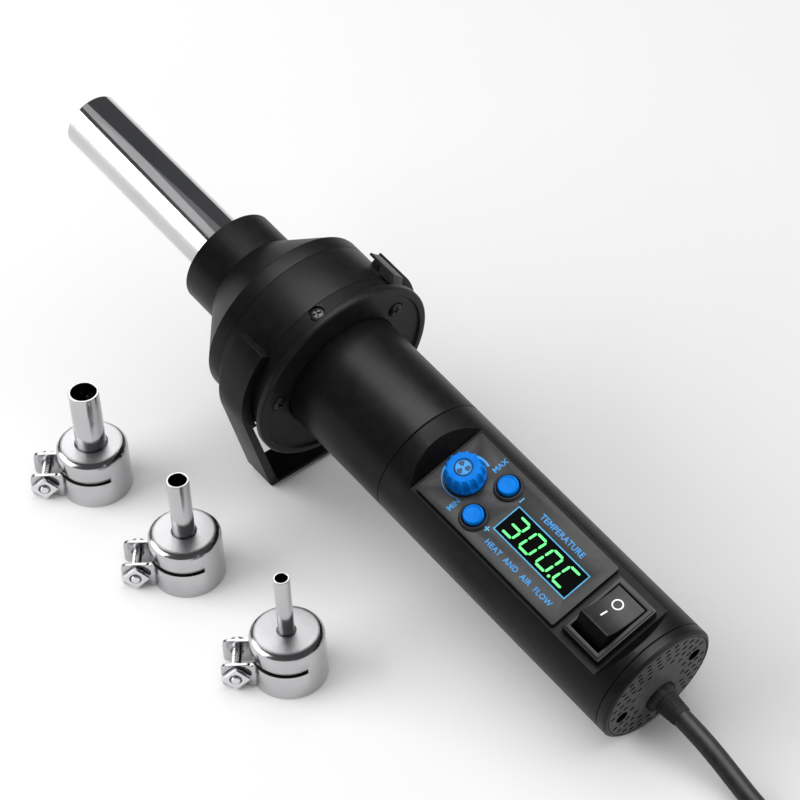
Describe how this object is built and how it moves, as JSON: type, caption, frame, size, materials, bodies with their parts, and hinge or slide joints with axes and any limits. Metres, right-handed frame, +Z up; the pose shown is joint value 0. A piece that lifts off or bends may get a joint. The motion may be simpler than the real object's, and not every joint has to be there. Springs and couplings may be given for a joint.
{
  "type": "hot air gun with nozzles",
  "caption": "Handheld hot air gun with knob, buttons, display and rocker switch, swivelling stand ring, mains lead, and clamp-on nozzles.",
  "frame": {"origin": "on the table, at the middle of the footprint of the gun and its nozzles, without the mains lead", "axes": "+Z up, -X towards the raised tip of the air pipe, -Y towards the nozzles"},
  "size_m": [0.3877, 0.1316, 0.0784],
  "materials": {
    "black_plastic": "satin moulded",
    "panel_plastic": "fine matt",
    "dark_plastic": "moulded",
    "switch_plastic": "semi-gloss",
    "blue_plastic": "semi-gloss",
    "display_window": "polished",
    "pipe_steel": "polished stainless tube",
    "nozzle_steel": "bright stainless pressing",
    "screw_steel": "blackened",
    "aluminium": "plain",
    "brass": "nickel plated",
    "rubber": "soft matt",
    "ceramic": "unglazed",
    "mica": "sheet",
    "heater_wire": "oxidised",
    "board": "solder mask"
  },
  "bodies": {
    "gun": {"air_pipe": "pipe_steel", "front_cone": "black_plastic", "rear_flange": "black_plastic", "flange_screw_1": "screw_steel", "flange_screw_2": "screw_steel", "flange_screw_3": "screw_steel", "flange_side_screw": "screw_steel", "front_barrel": "black_plastic", "rear_barrel": "black_plastic", "grip_pad_1": "rubber", "grip_pad_2": "rubber", "control_panel": "panel_plastic", "display_window": "display_window", "display_block": "dark_plastic", "potentiometer": "aluminium", "plus_tact_switch": "dark_plastic", "minus_tact_switch": "dark_plastic", "switch_frame": "switch_plastic", "end_cap": "black_plastic", "end_cap_screw_1": "screw_steel", "end_cap_screw_2": "screw_steel", "cord_gland": "rubber", "heater_core": "ceramic", "heater_coil": "heater_wire", "mica_tube": "mica", "thermocouple": "screw_steel", "fan_housing": "black_plastic", "motor_mount": "screw_steel", "fan_motor": "screw_steel", "control_board": "board", "power_board": "board", "smoothing_capacitor": "dark_plastic", "triac_heatsink": "aluminium", "cord_clamp": "black_plastic", "mains_cord": "rubber", "cord_coil": "rubber", "coil_tie": "black_plastic", "plug_lead": "rubber", "plug_body": "rubber", "plug_pins": "brass"},
    "stand": {"stand_ring": "black_plastic", "hanging_clip": "black_plastic"},
    "knob": {"airflow_knob": "blue_plastic", "potentiometer_shaft": "aluminium"},
    "plus": {"plus_button": "blue_plastic"},
    "minus": {"minus_button": "blue_plastic"},
    "rocker": {"switch_rocker": "switch_plastic"},
    "fan": {"fan_impeller": "dark_plastic"},
    "large_nozzle": {"large_nozzle_cup": "nozzle_steel", "large_nozzle_pipe": "nozzle_steel", "large_clamp_nut": "nozzle_steel"},
    "large_screw": {"large_clamp_screw": "nozzle_steel"},
    "medium_nozzle": {"medium_nozzle_cup": "nozzle_steel", "medium_nozzle_pipe": "nozzle_steel", "medium_clamp_nut": "nozzle_steel"},
    "medium_screw": {"medium_clamp_screw": "nozzle_steel"},
    "small_nozzle": {"small_nozzle_cup": "nozzle_steel", "small_nozzle_pipe": "nozzle_steel", "small_clamp_nut": "nozzle_steel"},
    "small_screw": {"small_clamp_screw": "nozzle_steel"}
  },
  "joints": [
    {"name": "knob_turn", "type": "hinge", "parent": "gun", "child": "knob", "pos_m": [0.05042, 0.01818, 0.05065], "axis": [0.1925, -0.2957, 0.9357], "range_deg": [-150, 150]},
    {"name": "plus_press", "type": "slide", "parent": "gun", "child": "plus", "axis": [-0.1925, 0.2957, -0.9357], "range_m": [0, 0.0008], "stiffness_N_per_m": 250, "springref_m": -0.001},
    {"name": "minus_press", "type": "slide", "parent": "gun", "child": "minus", "axis": [-0.1925, 0.2957, -0.9357], "range_m": [0, 0.0008], "stiffness_N_per_m": 250, "springref_m": -0.001},
    {"name": "switch_rock", "type": "hinge", "parent": "gun", "child": "rocker", "pos_m": [0.10652, 0.0198, 0.03375], "axis": [-0.9795, 0, 0.2015], "range_deg": [-34.8, 0]},
    {"name": "fan_spin", "type": "hinge", "parent": "gun", "child": "fan", "pos_m": [-0.02944, 0.0235, 0.04953], "axis": [-0.9795, 0, 0.2015], "continuous": true},
    {"name": "stand_swivel", "type": "hinge", "parent": "gun", "child": "stand", "pos_m": [-0.02259, 0.0235, 0.04812], "axis": [-0.9795, 0, 0.2015], "range_deg": [-180, 180]},
    {"name": "large_nozzle_lift", "type": "slide", "parent": "gun", "child": "large_nozzle", "axis": [0, 0, 1], "range_m": [0, 0.1]},
    {"name": "large_screw_turn", "type": "hinge", "parent": "large_nozzle", "child": "large_screw", "pos_m": [-0.0704, -0.04277, 0.0044], "axis": [0.7649, -0.6441, 0], "range_deg": [-360, 360]},
    {"name": "medium_nozzle_lift", "type": "slide", "parent": "gun", "child": "medium_nozzle", "axis": [0, 0, 1], "range_m": [0, 0.1]},
    {"name": "medium_screw_turn", "type": "hinge", "parent": "medium_nozzle", "child": "medium_screw", "pos_m": [-0.0224, -0.04477, 0.0044], "axis": [0.7649, -0.6441, 0], "range_deg": [-360, 360]},
    {"name": "small_nozzle_lift", "type": "slide", "parent": "gun", "child": "small_nozzle", "axis": [0, 0, 1], "range_m": [0, 0.1]},
    {"name": "small_screw_turn", "type": "hinge", "parent": "small_nozzle", "child": "small_screw", "pos_m": [0.0276, -0.04727, 0.0044], "axis": [0.7649, -0.6441, 0], "range_deg": [-360, 360]}
  ]
}
